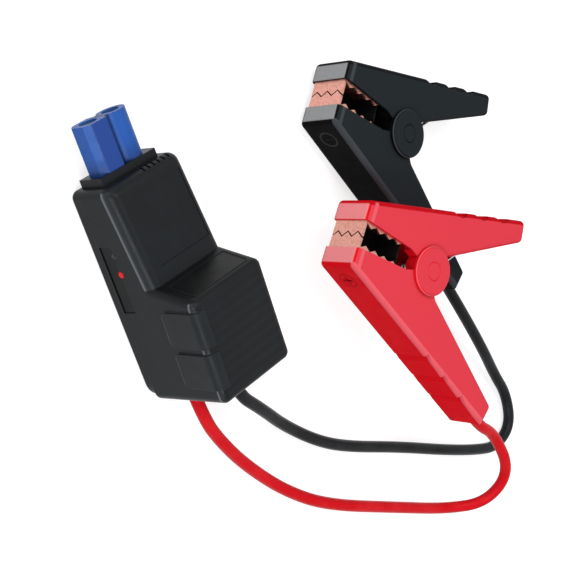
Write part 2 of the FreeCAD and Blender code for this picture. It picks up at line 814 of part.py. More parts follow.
def arm(clamp, side):
    """The lower arm (side -1) or the upper arm (side 1) of a clamp."""
    which = "lower" if side < 0 else "upper"
    body = new_body(f"{clamp}_{which}_handle")
    ends = (f"{which}_end_x", f"{which}_end_y")
    view = sketch_on(body, "side_view", "XY_Plane")
    outline(view, [
        ("-jaw_reach", signed(side, "jaw_lip")),
        ("-jaw_reach", signed(side, "jaw_outer")),
        (ends[0], signed(side, ends[1])),
        (f"{which}_inner_x", signed(side, f"{which}_inner_y")),
        ("root_x", signed(side, "root_y")),
        ("0", "0"),
        ("-jaw_back", signed(side, "jaw_back_lip")),
    ])
    pad(body, view, "arm_wide")
    half = size("arm_wide") / 2
    clear = size("ear_round") + size("run_gap")

    def on_outside(p, t):
        past_lip = abs(p.y) > size("jaw_lip") + 1 and math.hypot(p.x, p.y) > clear + 1
        sharp_corner = near(p.x, size("lower_end_x")) and near(p.y, -size("lower_end_y"))
        return past_lip and (near(abs(p.z), half) or near(abs(t.z), 1)) and not sharp_corner

    round_edges(body, "outer_edges", "arm_edge", on_outside)
    ear = sketch_on(body, "ear", "XY_Plane")
    circle(ear, "0", "0", "ear_round")
    pad(body, ear, "arm_wide" if side < 0 else "2 * (ear_split - layer_gap)")
    if side < 0:
        inner = sketch_on(body, "ear_room", "XY_Plane")
        circle(inner, "0", "0", "ear_round + run_gap")
        pocket(body, inner, "2 * ear_split")
    else:
        for index in (-1, 1):
            outer = sketch_on(body, f"ear_room_{'far' if index < 0 else 'near'}", "XY_Plane",
                              f"{index} * (ear_split / 2 + arm_wide / 4 - layer_gap / 2)")
            circle(outer, "0", "0", "ear_round + run_gap")
            pocket(body, outer, "arm_wide / 2 - ear_split + layer_gap")
    channel(body, "jaw_room", side, ends, "lip_wall - jaw_reach", "-channel_change", "0", "jaw_channel")
    channel(body, "middle_room", side, ends, "-channel_change - channel_lap",
            "channel_change + channel_lap", "-ear_round - cut_past", "middle_channel")
    end_inner = f"{ends[0]} - end_wall"
    channel(body, "handle_room", side, ends, "channel_change", end_inner, "0", "handle_channel")
    pin = sketch_on(body, "pin_hole", "XY_Plane")
    circle(pin, "0", "0", "pin_round + pin_gap")
    pocket(body, pin, "arm_wide")
    spring_rib(body, side)
    if side < 0:
        grip_steps(body, side, ends)
        cord_hole(body)
        polarity_mark(body, clamp, ends)
    else:
        finger_scallops(body, side, ends)
    return body


def grip_steps(body, side, ends):
    """Sawtooth grips across the outer face: a sharp step down, a short ramp and a long one."""
    sketch = sketch_on(body, "grips", "XY_Plane")
    for index in range(int(size("grip_count"))):
        start = f"(grip_first - jaw_reach + {index} * grip_pitch)"
        step = f"{start} + grip_step"
        foot = f"{start} + grip_foot"
        stop = f"{start} + grip_pitch - grip_land"
        outline(sketch, [
            (start, signed(side, outer_line(start, *ends))),
            (step, signed(side, f"{outer_line(step, *ends)} - grip_deep")),
            (foot, signed(side, f"{outer_line(foot, *ends)} - grip_foot_deep")),
            (stop, signed(side, outer_line(stop, *ends))),
        ])
    pocket(body, sketch, "arm_wide")


def finger_scallops(body, side, ends):
    """Shallow round scallops across the outer face near the upper arm's end."""
    sketch = sketch_on(body, "scallops", "XY_Plane")
    for index in range(int(size("scallop_count"))):
        along = f"({ends[0]} - scallop_first - {index} * scallop_pitch)"
        circle(sketch, along,
               signed(side, f"{outer_line(along, *ends)} + scallop_round - scallop_deep"), "scallop_round")
    pocket(body, sketch, "arm_wide")


def lower_angle():
    """Angle of the cord's axis in the lower handle, below the clamp's x."""
    outer = math.atan2(size("lower_end_y") - size("jaw_outer"), size("lower_end_x") + size("jaw_reach"))
    inner = math.atan2(size("lower_inner_y") - size("root_y"), size("lower_inner_x") - size("root_x"))
    return (outer + inner) / 2


def cord_mouth():
    """Middle of the lower arm's end face, in the clamp's plane."""
    across = (size("lower_end_x") + size("lower_inner_x")) / 2
    return Vector(across, -(size("lower_end_y") + size("lower_inner_y")) / 2, 0)


def along_cord(distance, aside):
    """Expressions for a point beside the cord's axis, measured from the arm's end."""
    turn = math.degrees(lower_angle())
    mouth_x = "(lower_end_x + lower_inner_x) / 2"
    mouth_y = "-(lower_end_y + lower_inner_y) / 2"
    cosine = f"cos({turn:.6f} deg)"
    sine = f"sin({turn:.6f} deg)"
    across = f"{mouth_x} + ({distance}) * {cosine} + ({aside}) * {sine}"
    along = f"{mouth_y} - ({distance}) * {sine} + ({aside}) * {cosine}"
    return across, along


def axis_of_cord(sketch):
    """The cord's axis as the sketch's construction line."""
    item = sketch.addGeometry(Part.LineSegment(Vector(-1, 0, 0), Vector(1, 1, 0)), True)
    pin_point(sketch, (item, 1), Vector(-1, 0, 0), *along_cord("-10", "0"))
    pin_point(sketch, (item, 2), Vector(1, 1, 0), *along_cord("5", "0"))


def cord_hole(body):
    """Round hole for the cord through the end wall."""
    sketch = sketch_on(body, "cord_hole", "XY_Plane")
    outline(sketch, [along_cord("-end_wall - cord_inside", "0"), along_cord("3", "0"),
                     along_cord("3", "cord_round + pin_gap"),
                     along_cord("-end_wall - cord_inside", "cord_round + pin_gap")])
    axis_of_cord(sketch)
    turn_about_line(body, sketch, "PartDesign::Groove")


def polarity_mark(body, clamp, ends):
    """A shallow ring with a bar, or a cross on the red clamp, on the outer face."""
    slope = (size("lower_end_y") - size("jaw_outer")) / (size("lower_end_x") + size("jaw_reach"))
    sketch = body.newObject("Sketcher::SketchObject", "polarity_mark")
    plane = next(part for part in body.Origin.OriginFeatures if part.Role == "XZ_Plane")
    sketch.AttachmentSupport = [(plane, "")]
    sketch.MapMode = "FlatFace"
    along = size("mark_at") - size("jaw_reach")
    depth = size("jaw_outer") + size("mark_at") * slope
    lean = Rotation(Vector(0, 1, 0), math.degrees(math.atan(slope)))
    sketch.AttachmentOffset = Placement(Vector(along, 0, depth), lean)
    circle(sketch, "0", "0", "mark_round")
    circle(sketch, "0", "0", "mark_round - mark_line")
    half = "mark_line / 2"
    arm_out = "mark_round - 2 * mark_line"
    if clamp == "red":
        outline(sketch, [
            (f"-({arm_out})", f"-({half})"), (f"-({half})", f"-({half})"),
            (f"-({half})", f"-({arm_out})"), (half, f"-({arm_out})"),
            (half, f"-({half})"), (arm_out, f"-({half})"),
            (arm_out, half), (half, half),
            (half, arm_out), (f"-({half})", arm_out),
            (f"-({half})", half), (f"-({arm_out})", half),
        ])
    else:
        box_outline(sketch, f"-({half})", half, f"-({arm_out})", arm_out)
    pocket(body, sketch, "mark_deep", middle=False)


def pivot_pin(clamp):
    body = new_body(f"{clamp}_pivot_pin")
    end = sketch_on(body, "pin_end", "XY_Plane")
    circle(end, "0", "0", "pin_round")
    pad(body, end, "arm_wide + 2 * cap_socket")
    return body


def pivot_cap(clamp, side):
    """Round cap over an ear and the pin's end, with a ring groove in its face."""
    body = new_body(f"{clamp}_{'near' if side > 0 else 'far'}_cap")
    sketch = sketch_on(body, "cap_section", "XZ_Plane")
    face = "arm_wide / 2 + cap_high"
    outline(sketch, [
        ("0", signed(side, "arm_wide / 2 + cap_socket")),
        ("pin_round", signed(side, "arm_wide / 2 + cap_socket")),
        ("pin_round", signed(side, "arm_wide / 2")),
        ("cap_seat", signed(side, "arm_wide / 2")),
        ("cap_seat", signed(side, "arm_wide / 2 + run_gap")),
        ("cap_round", signed(side, "arm_wide / 2 + run_gap")),
        ("cap_round", signed(side, f"{face} - cap_edge")),
        ("cap_round - cap_edge", signed(side, face)),
        ("cap_ring + cap_groove", signed(side, face)),
        ("cap_ring", signed(side, f"{face} - cap_groove")),
        ("cap_ring - cap_groove", signed(side, face)),
        ("0", signed(side, face)),
    ])
    item = sketch.addGeometry(Part.LineSegment(Vector(0, -1, 0), Vector(0, 1, 0)), True)
    pin_point(sketch, (item, 1), Vector(0, -1, 0), "0", "-1")
    pin_point(sketch, (item, 2), Vector(0, 1, 0), "0", "1")
    turn_about_line(body, sketch, "PartDesign::Revolution")
    return body


def metal_jaw(clamp, side):
    """Folded metal jaw: a toothed front wall, two toothed sides and a back plate."""
    which = "lower" if side < 0 else "upper"
    body = new_body(f"{clamp}_{which}_jaw")
    view = sketch_on(body, "jaw_view", "XY_Plane")
    front = "lip_wall - jaw_reach"
    corners = [
        (front, signed(side, "jaw_metal_deep")),
        (front, signed(side, "-front_tooth_deep")),
        (f"{front} + plate", signed(side, "-front_tooth_deep")),
        (f"{front} + plate", signed(side, "tooth_top + tooth_deep")),
    ]
    for index in range(int(size("tooth_count"))):
        tip = f"{front} + plate + ({index} + 0.5) * tooth_pitch"
        root = f"{front} + plate + ({index} + 1) * tooth_pitch"
        corners.append((tip, signed(side, "tooth_top")))
        corners.append((root, signed(side, "tooth_top + tooth_deep")))
    corners.append(("-jaw_metal_back", signed(side, "tooth_top + tooth_deep + plate / 2")))
    corners.append(("-jaw_metal_back", signed(side, "jaw_metal_deep")))
    outline(view, corners)
    pad(body, view, "2 * jaw_channel")
    inside = sketch_on(body, "jaw_inside", "XY_Plane")
    outline(inside, [
        (f"{front} + plate", signed(side, "jaw_metal_deep - plate")),
        (f"{front} + plate", signed(side, "-front_tooth_deep - cut_past")),
        ("plate - jaw_metal_back", signed(side, "-front_tooth_deep - cut_past")),
        ("plate - jaw_metal_back", signed(side, "jaw_metal_deep - plate")),
    ])
    pocket(body, inside, "2 * (jaw_channel - plate)")
    bite = sketch_on(body, "front_bite", "YZ_Plane")
    outline(bite, front_zigzag(side))
    pocket(body, bite, "2 * jaw_reach")
    return body


def front_zigzag(side):
    """The region beyond one jaw's toothed front edge, in the plane across the jaws."""
    teeth = int(size("front_teeth"))
    points = []
    for index in range(2 * teeth + 1):
        height = "front_tooth_deep / 2" if index % 2 else "-front_tooth_deep / 2"
        across = f"-jaw_channel + {index} * jaw_channel / {teeth}"
        points.append((f"{height} - ({-side}) * bite_gap / 2", across))
    beyond = signed(-side, "front_tooth_deep + cut_past")
    points.append((beyond, "jaw_channel + cut_past"))
    points.append((beyond, "-jaw_channel - cut_past"))
    return points


def helix_points(first_angle, whole_angle, radius, pitch):
    """Points and directions of a helix about z, centred on z = 0, about a quarter turn apart."""
    count = int(round(whole_angle / 90))
    height = pitch * whole_angle / 360
    steep = pitch / (2 * math.pi * radius)
    result = []
    for index in range(count + 1):
        share = index / count
        angle = math.radians(first_angle + share * whole_angle)
        spot = Vector(radius * math.cos(angle), radius * math.sin(angle), (share - 0.5) * height)
        along = Vector(-math.sin(angle), math.cos(angle), steep)
        result.append((spot, along.normalize()))
    return result


def arc_from(corner, reach, begin, end):
    """An arc from begin to end that touches both legs from the corner."""
    middle = (begin + end) * 0.5
    inward = middle - corner
    half = math.asin(min(1.0, (end - begin).Length / 2 / reach))
    radius = reach * math.tan(half)
    centre_away = reach / math.cos(half)
    top = corner + inward.normalize() * (centre_away - radius)
    return Part.Arc(begin, top, end).toShape()


def biarc(begin, begin_way, end, end_way):
    """Two arcs that join two points and meet both directions."""
    gap = end - begin
    total = begin_way + end_way
    spread = 2 * (1 - begin_way.dot(end_way))
    lean = gap.dot(total)
    reach = (-lean + math.sqrt(lean ** 2 + spread * gap.dot(gap))) / spread
    corner = begin + begin_way * reach
    far_corner = end - end_way * reach
    joint = (corner + far_corner) * 0.5
    return [arc_from(corner, reach, begin, joint), arc_from(far_corner, reach, joint, end)]


def tube(edges, radius):
    """A round tube along joined edges, checked against its section times its length."""
    wire = Part.Wire(edges)
    begin = edges[0].valueAt(edges[0].FirstParameter)
    way = edges[0].tangentAt(edges[0].FirstParameter)
    ring = Part.Wire([Part.Circle(begin, way, radius).toShape()])
    solid = Part.Wire(wire.Edges).makePipeShell([ring], True, False)
    wanted = math.pi * radius ** 2 * wire.Length
    if abs(solid.Volume / wanted - 1) > 0.01:
        raise ValueError(f"tube volume {solid.Volume:.1f} for {wanted:.1f}")
    return solid, wire.Length


def torsion_spring(clamp):
    """Unbroken helix round the pin with one straight leg into each handle."""
    start = 90 - size("leg_angle")
    whole = 360 * size("coil_turns") - 2 * start
    points = helix_points(start, whole, size("coil_round"), size("coil_pitch"))
    edges = []
    for (begin, begin_way), (end, end_way) in zip(points, points[1:]):
        edges.extend(biarc(begin, begin_way, end, end_way))
    first, first_way = points[0]
    last, last_way = points[-1]
    edges.insert(0, Part.LineSegment(first - first_way * size("leg_long"), first).toShape())
    edges.append(Part.LineSegment(last, last + last_way * size("leg_long")).toShape())
    solid, length = tube(edges, size("wire_round"))
    gap = least_turn_gap(size("coil_round"), size("coil_pitch"), size("wire_round"))
    print(f"{clamp}_spring: wire {length:.1f} mm, least gap between turns {gap:.2f} mm")
    return feature_from(f"{clamp}_spring", solid)


def least_turn_gap(radius, pitch, wire):
    """Least clear distance between a point of one turn and the points of the next."""
    start = Vector(radius, 0, 0)
    gaps = []
    for step in range(181):
        angle = math.pi + step * math.pi / 90
        other = Vector(radius * math.cos(angle), radius * math.sin(angle), pitch * angle / (2 * math.pi))
        gaps.append((other - start).Length - 2 * wire)
    return min(gaps)


def leg_tip():
    """Expressions for the end of a spring leg: along x, and away from the clamp's middle."""
    sine = "sin(leg_angle * 1 deg)"
    cosine = "cos(leg_angle * 1 deg)"
    along = f"(coil_round * {sine} + leg_long * {cosine})"
    aside = f"(leg_long * {sine} - coil_round * {cosine} + wire_round * {cosine})"
    return along, aside


def spring_rib(body, side):
    """Bridge between a handle's walls that the spring's leg rests on."""
    along, aside = leg_tip()
    sketch = sketch_on(body, "spring_rib", "XY_Plane")
    box_outline(sketch, f"{along} - rib_long / 2", f"{along} + rib_long / 2",
                signed(side, f"{aside} + layer_gap"), signed(side, f"{aside} + layer_gap + rib_high"))
    pad(body, sketch, "2 * handle_channel + cut_past")


def cord_terminal(clamp):
    """Crimp barrel on the cord's end and a strap along the arm's floor to the lower jaw."""
    body = new_body(f"{clamp}_terminal")
    ends = ("lower_end_x", "lower_end_y")
    jaw_from = "-jaw_metal_back - strap_lap"
    jaw_to = "-jaw_metal_back - plate"
    bend = "strap_bend - jaw_metal_back"
    stop = "lower_end_x - end_wall - plate"

    def floor(along):
        return f"{outer_line(along, *ends)} - arm_wall"

    strap = sketch_on(body, "strap", "XY_Plane")
    outline(strap, [
        (jaw_from, "-jaw_metal_deep"),
        (jaw_to, "-jaw_metal_deep"),
        (bend, f"-({floor(bend)} - strap_thick)"),
        (stop, f"-({floor(stop)} - strap_thick)"),
        (stop, f"-({floor(stop)})"),
        (f"{bend} - strap_thick / 2", f"-({floor(f'({bend} - strap_thick / 2)')})"),
        (f"{jaw_to} - strap_thick / 2", "-jaw_metal_deep - strap_thick"),
        (jaw_from, "-jaw_metal_deep - strap_thick"),
    ])
    pad(body, strap, "strap_wide")
    barrel = sketch_on(body, "barrel", "XY_Plane")
    near_end = "-end_wall - cord_inside"
    outline(barrel, [along_cord(f"{near_end} - barrel_long", "0"), along_cord(near_end, "0"),
                     along_cord(near_end, "terminal_round"),
                     along_cord(f"{near_end} - barrel_long", "terminal_round")])
    axis_of_cord(barrel)
    turn_about_line(body, barrel, "PartDesign::Revolution")
    return body


# Cords: the corners of each route between its two straight ends, as the cord lies

ARC_SHARE = 0.45
RED_ROUTE = (
    (-7.5, -100.5, 10.0),
    (13.5, -104.5, 5.5),
    (41.0, -107.5, 2.6),
    (68.0, -106.5, 2.6),
    (113.3, -95.9, 2.6),
    (148.2, -87.6, 2.6),
    (162.6, -79.7, 13.4),
    (159.3, -64.7, 25.1),
    (136.5, -53.0, 28.5),
)
BLACK_ROUTE = (
    (9.0, -82.0, 10.0),
    (29.5, -83.0, 4.0),
    (52.5, -83.0, 2.6),
    (71.5, -80.0, 2.6),
    (105.0, -70.5, 2.6),
    (138.0, -62.5, 2.6),
    (160.3, -56.7, 2.6),
    (174.8, -50.7, 2.6),
    (180.2, -37.1, 3.3),
    (174.2, -23.8, 3.6),
    (160.3, -18.7, 4.7),
    (140.0, -12.0, 9.0),
)


def rounded_route(points):
    """Straight runs joined by arcs, each as large as its two runs allow."""
    edges = []
    radii = []
    begin = points[0]
    for before, corner, after in zip(points, points[1:], points[2:]):
        back = before - corner
        onward = after - corner
        reach = ARC_SHARE * min(back.Length, onward.Length)
        back.normalize()
        onward.normalize()
        turn = math.pi - back.getAngle(onward)
        radius = reach / math.tan(turn / 2)
        inward = (back + onward).normalize()
        middle = corner + inward * (radius / math.cos(turn / 2) - radius)
        start = corner + back * reach
        stop = corner + onward * reach
        edges.append(Part.LineSegment(begin, start).toShape())
        edges.append(Part.Arc(start, middle, stop).toShape())
        begin = stop
        radii.append(radius)
    edges.append(Part.LineSegment(begin, points[-1]).toShape())
    return edges, radii


def cord(clamp, hand, route, home):
    """One cord, from its solder lug in the case to its crimp in the lower handle."""
    outside = -size("case_long") / 2 - size("gland_out") - size("case_lead")
    points = [MODULE.multVec(Vector(hand * size("gland_x"), along, size("gland_z")))
              for along in (case_cord_end(), outside)]
    points += [Vector(*corner) for corner in route]
    heading = Vector(math.cos(lower_angle()), -math.sin(lower_angle()), 0)
    for away in (size(f"{clamp}_lead"), -size("end_wall") - size("cord_inside")):
        points.append(home.multVec(cord_mouth() + heading * away))
    edges, radii = rounded_route(points)
    solid, length = tube(edges, size("cord_round"))
    print(f"{clamp}_cord: {length:.1f} mm long, radii {', '.join(f'{r:.0f}' for r in radii)} mm")
    return feature_from(f"{clamp}_cord", solid)


def clamp_pieces(clamp):
    pieces = [arm(clamp, -1), arm(clamp, 1), metal_jaw(clamp, -1), metal_jaw(clamp, 1)]
    pieces += [pivot_pin(clamp), pivot_cap(clamp, 1), pivot_cap(clamp, -1)]
    pieces += [torsion_spring(clamp), cord_terminal(clamp)]
    home = RED if clamp == "red" else BLACK
    for item in pieces:
        place(item, AT_HOME, home)
    return pieces


def module_pieces():
    pieces = [rear_cover(), front_housing(), side_panel()]
    pieces += [lens("status_lens", "status_at"), lens("mode_lens", "mode_at")]
    pieces += [grip_pad("grip_pad_1", 0), grip_pad("grip_pad_2", 1)]
    pieces += [plug_collar(), plug_body()]
    pieces += [plug_contact("left_contact", -1), plug_contact("right_contact", 1)]
    pieces += [circuit_board(), relay("left_relay", -1), relay("right_relay", 1), capacitor()]
    for index, (across, along) in enumerate(screw_places(), start=1):
        pieces.append(cover_screw(f"cover_screw_{index}", across, along))
    pieces += [gland("red_gland", -1), gland("black_gland", 1)]
    pieces += [case_lug("red_lug", -1), case_lug("black_lug", 1)]
    return pieces


def checked(pieces):
    """Stop on a failed object or a poor shape."""
    doc.recompute()
    for item in doc.Objects:
        if "Invalid" in item.State or "Error" in item.State:
            raise ValueError(f"{item.Name} is {item.State}")
    for item in pieces:
        if item.Shape.isNull() or not item.Shape.isValid():
            raise ValueError(f"{item.Label} has no good shape")
    return pieces


def write_steps(pieces):
    os.makedirs("parts", exist_ok=True)
    for item in pieces:
        item.Shape.exportStep(f"parts/{item.Label}.step")
        print(f"{item.Label}: {item.Shape.Volume:.1f} mm3, {len(item.Shape.Solids)} solid")


all_pieces = module_pieces() + clamp_pieces("red") + clamp_pieces("black")
all_pieces += [cord("red", -1, RED_ROUTE, RED), cord("black", 1, BLACK_ROUTE, BLACK)]
checked(all_pieces)
write_steps(all_pieces)
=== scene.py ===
import math
import bmesh
import bpy
from mathutils import Matrix, Vector


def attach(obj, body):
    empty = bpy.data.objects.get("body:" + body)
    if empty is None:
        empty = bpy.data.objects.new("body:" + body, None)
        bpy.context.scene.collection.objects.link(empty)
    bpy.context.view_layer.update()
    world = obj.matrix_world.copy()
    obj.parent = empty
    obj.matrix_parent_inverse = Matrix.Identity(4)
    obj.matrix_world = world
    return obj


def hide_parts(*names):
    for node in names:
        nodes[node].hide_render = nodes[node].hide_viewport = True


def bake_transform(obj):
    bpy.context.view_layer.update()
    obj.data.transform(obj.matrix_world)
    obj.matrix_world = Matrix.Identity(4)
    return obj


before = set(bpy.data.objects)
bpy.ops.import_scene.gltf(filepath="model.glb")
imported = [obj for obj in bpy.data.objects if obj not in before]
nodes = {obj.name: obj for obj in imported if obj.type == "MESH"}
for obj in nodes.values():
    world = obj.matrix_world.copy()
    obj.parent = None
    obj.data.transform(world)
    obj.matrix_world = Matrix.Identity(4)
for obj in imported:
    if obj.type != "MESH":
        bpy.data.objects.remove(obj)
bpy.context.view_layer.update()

# Smart clamp lead of a jump starter: control module, two cords and two spring clamps.
# Lengths are metres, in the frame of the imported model.

MM = 0.001

# Camera

CAMERA_AT = Vector((-0.40245, -0.18348, 0.42529))
CAMERA_RIGHT = Vector((0.6461, 0.2413, 0.7241))
CAMERA_UP = Vector((-0.3485, 0.9373, -0.0014))
LENS_MM = 93.75
SENSOR_MM = 36.0


def make_camera():
    data = bpy.data.cameras.new("camera")
    data.lens = LENS_MM
    data.sensor_width = SENSOR_MM
    data.clip_end = 20.0
    camera = bpy.data.objects.new("camera", data)
    bpy.context.scene.collection.objects.link(camera)
    right = CAMERA_RIGHT.normalized()
    up = (CAMERA_UP - right * CAMERA_UP.dot(right)).normalized()
    back = right.cross(up)
    turn = Matrix((right, up, back)).transposed().to_4x4()
    camera.matrix_world = Matrix.Translation(CAMERA_AT) @ turn
    bpy.context.scene.camera = camera


make_camera()

# Frames of the module and the clamps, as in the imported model

MODULE_AT = Vector((-57.63, -51.3, 0.0)) * MM
MODULE_TURN = math.radians(47.5)
MODULE = Matrix.Translation(MODULE_AT) @ Matrix.Rotation(MODULE_TURN, 4, "Z")
BLACK = Matrix.Translation(Vector((38.97, 49.7, 12.5)) * MM)
RED = (
    Matrix.Translation(Vector((52.97, -6.9, 31.7)) * MM)
    @ Matrix.Rotation(math.radians(-2.9), 4, "Y")
    @ Matrix.Rotation(math.radians(3.67), 4, "X")
)

# Places on a clamp, in millimetres of its own frame

JAW_REACH = 42.5
JAW_OUTER = 14.0
LOWER_RUN, LOWER_RISE = 99.7, 35.0
UPPER_RUN, UPPER_RISE = 92.5, 28.5
INNER_RUN, INNER_RISE = 54.2, 32.3
LOWER_SLOPE = LOWER_RISE / LOWER_RUN
UPPER_SLOPE = UPPER_RISE / UPPER_RUN
EDGE = 2.2
FLANK_Z = 10.0
CAP_TOP_Z = 12.5

# Cords

CORD_ROUND = 2.55 * MM
RED_ROUTE = (
    (-7.5, -100.5, 10.0),
    (13.5, -104.5, 5.5),
    (41.0, -107.5, 2.6),
    (68.0, -106.5, 2.6),
    (113.3, -95.9, 2.6),
    (148.2, -87.6, 2.6),
    (162.6, -79.7, 13.4),
    (159.3, -64.7, 25.1),
    (136.5, -53.0, 28.5),
)
BLACK_ROUTE = (
    (9.0, -82.0, 10.0),
    (29.5, -83.0, 4.0),
    (52.5, -83.0, 2.6),
    (71.5, -80.0, 2.6),
    (105.0, -70.5, 2.6),
    (138.0, -62.5, 2.6),
    (160.0, -56.2, 2.6),
    (175.6, -50.1, 2.6),
    (182.1, -37.3, 3.3),
    (172.9, -24.4, 3.6),
    (159.3, -19.1, 4.7),
    (140.0, -12.2, 9.0),
)
CASE_END = -39.5
CASE_OUT = -55.0
GLAND_X = 9.5
GLAND_Z = 14.0
MOUTH = Vector((58.6, -44.5, 0.0))
LOWER_ANGLE = (math.atan2(LOWER_RISE, LOWER_RUN) + math.atan2(INNER_RISE, INNER_RUN)) / 2
HEADING = Vector((math.cos(LOWER_ANGLE), -math.sin(LOWER_ANGLE), 0.0))
CORD_END = -8.0
RED_APPROACH = 7.65
BLACK_APPROACH = 15.0


def make_cord(clamp, hand, route, home, approach):
    """One smooth cord from the case to the lower handle, on its route's points."""
    name = f"{clamp}_lead"
    points = [MODULE @ (Vector((hand * GLAND_X, back, GLAND_Z)) * MM)
              for back in (CASE_END, CASE_OUT)]
    points += [Vector(corner) * MM for corner in route]
    points += [home @ ((MOUTH + HEADING * away) * MM) for away in (approach, CORD_END)]
    curve = bpy.data.curves.new(name, "CURVE")
    curve.dimensions = "3D"
    curve.bevel_depth = 1.0
    curve.bevel_resolution = 8
    curve.resolution_u = 24
    curve.use_fill_caps = True
    spline = curve.splines.new("NURBS")
    spline.points.add(len(points) - 1)
    for item, spot in zip(spline.points, points):
        item.co = (*spot, 1.0)
        item.radius = CORD_ROUND
    spline.order_u = 3
    spline.use_endpoint_u = True
    piece = bpy.data.objects.new(name, curve)
    bpy.context.scene.collection.objects.link(piece)
    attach(piece, "lead")
    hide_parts(f"{clamp}_cord")
    return piece


red_lead = make_cord("red", -1, RED_ROUTE, RED, RED_APPROACH)
black_lead = make_cord("black", 1, BLACK_ROUTE, BLACK, BLACK_APPROACH)

# Floor

FLOOR_HALF = 6.0
FLOOR_Z = -0.0002


def make_stage():
    """A large pale floor that is white to the camera where no shadow falls."""
    mesh = bmesh.new()
    bmesh.ops.create_grid(mesh, x_segments=1, y_segments=1, size=FLOOR_HALF)
    data = bpy.data.meshes.new("floor")
    mesh.to_mesh(data)
    mesh.free()
    floor = bpy.data.objects.new("floor", data)
    bpy.context.scene.collection.objects.link(floor)
    floor.location.z = FLOOR_Z
    return floor


floor = make_stage()

# Materials, each on object coordinates


def linear(red, green, blue):
    """A colour as it is seen on a screen, 0 to 255, as the linear values that a shader takes."""
    parts = [channel / 255 for channel in (red, green, blue)]
    return [v / 12.92 if v <= 0.04045 else ((v + 0.055) / 1.055) ** 2.4 for v in parts] + [1.0]


class Finish:
    """A node material with one principled shader and object coordinates."""

    def __init__(self, name, colour, roughness, metallic=0.0):
        self.material = bpy.data.materials.new(name)
        self.material.use_nodes = True
        self.tree = self.material.node_tree
        self.shader = self.tree.nodes["Principled BSDF"]
        self.shader.inputs["Base Color"].default_value = colour
        self.shader.inputs["Roughness"].default_value = roughness
        self.shader.inputs["Metallic"].default_value = metallic
        self.colour = colour
        self.roughness = roughness
        self.place = self.add("ShaderNodeTexCoord").outputs["Object"]
        self.height = None

    def add(self, kind, **values):
        node = self.tree.nodes.new(kind)
        for key, value in values.items():
            setattr(node, key, value)
        return node

    def join(self, start, end):
        self.tree.links.new(start, end)

    def noise(self, scale, detail=3.0):
        """Soft noise with features about 1 / scale metres across."""
        node = self.add("ShaderNodeTexNoise")
        node.inputs["Scale"].default_value = scale
        node.inputs["Detail"].default_value = detail
        self.join(self.place, node.inputs["Vector"])
        return node.outputs["Fac"]

    def spread(self, source, low, high, lowest=0.0, highest=1.0):
        """The source's values from low to high, spread from lowest to highest."""
        node = self.add("ShaderNodeMapRange")
        node.inputs["From Min"].default_value = low
        node.inputs["From Max"].default_value = high
        node.inputs["To Min"].default_value = lowest
        node.inputs["To Max"].default_value = highest
        self.join(source, node.inputs["Value"])
        return node.outputs["Result"]

    def tint(self, share, colour):
        """Mixes another colour in by a share of 0 to 1."""
        node = self.add("ShaderNodeMix", data_type="RGBA")
        socket = self.shader.inputs["Base Color"]
        if socket.is_linked:
            self.join(socket.links[0].from_socket, node.inputs["A"])
        else:
            node.inputs["A"].default_value = self.colour
        node.inputs["B"].default_value = colour
        self.join(share, node.inputs["Factor"])
        self.join(node.outputs["Result"], socket)

    def vary_roughness(self, source, amount):
        lowest, highest = self.roughness - amount, self.roughness + amount
        self.join(self.spread(source, 0.3, 0.7, lowest, highest), self.shader.inputs["Roughness"])

    def bump(self, source, height):
        """Relief of a height in metres, on top of what is there."""
        node = self.add("ShaderNodeBump")
        node.inputs["Distance"].default_value = height
        self.join(source, node.inputs["Height"])
        if self.height is not None:
            self.join(self.height, node.inputs["Normal"])
        self.height = node.outputs["Normal"]
        self.join(self.height, self.shader.inputs["Normal"])


def moulded(name, colour, light, roughness, grain=2600.0, depth=0.00003):
    """Moulded plastic with a fine spark-eroded grain and faint lighter scuffs."""
    finish = Finish(name, colour, roughness)
    fine = finish.noise(grain, 2.0)
    finish.bump(fine, depth)
    finish.tint(finish.spread(finish.noise(60.0), 0.45, 0.75, 0.0, 0.35), light)
    finish.vary_roughness(finish.noise(220.0), 0.06)
    return finish


def soft_cover(name, colour, light, roughness):
    """A cord's smooth jacket, slightly cloudy, with a fine skin."""
    finish = Finish(name, colour, roughness)
    finish.bump(finish.noise(1800.0, 2.0), 0.00002)
    finish.tint(finish.spread(finish.noise(90.0), 0.4, 0.7, 0.0, 0.5), light)
    return finish


def metal(name, colour, dark, roughness):
    """Plated metal with fine specks and darker spots."""
    finish = Finish(name, colour, roughness, metallic=1.0)
    speck = finish.noise(900.0, 4.0)
    finish.tint(finish.spread(speck, 0.48, 0.62, 0.0, 0.6), dark)
    finish.bump(speck, 0.00002)
    finish.vary_roughness(finish.noise(400.0), 0.08)
    return finish


def along(home, x, y, z):
    """A direction of one group's own frame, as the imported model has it."""
    return home.to_3x3() @ Vector((x, y, z))


def distance(finish, home, start, way):
    """Millimetres from a point of one group's own frame, along a direction in it."""
    place = finish.add("ShaderNodeVectorMath", operation="SUBTRACT")
    place.inputs[1].default_value = home @ (Vector(start) * MM)
    finish.join(finish.place, place.inputs[0])
    reach = finish.add("ShaderNodeVectorMath", operation="DOT_PRODUCT")
    reach.inputs[1].default_value = along(home, *way).normalized() / MM
    finish.join(place.outputs["Vector"], reach.inputs[0])
    return reach.outputs["Value"]


def both(finish, one, other):
    """The product of two shares."""
    node = finish.add("ShaderNodeMath", operation="MULTIPLY")
    finish.join(one, node.inputs[0])
    finish.join(other, node.inputs[1])
    return node.outputs["Value"]


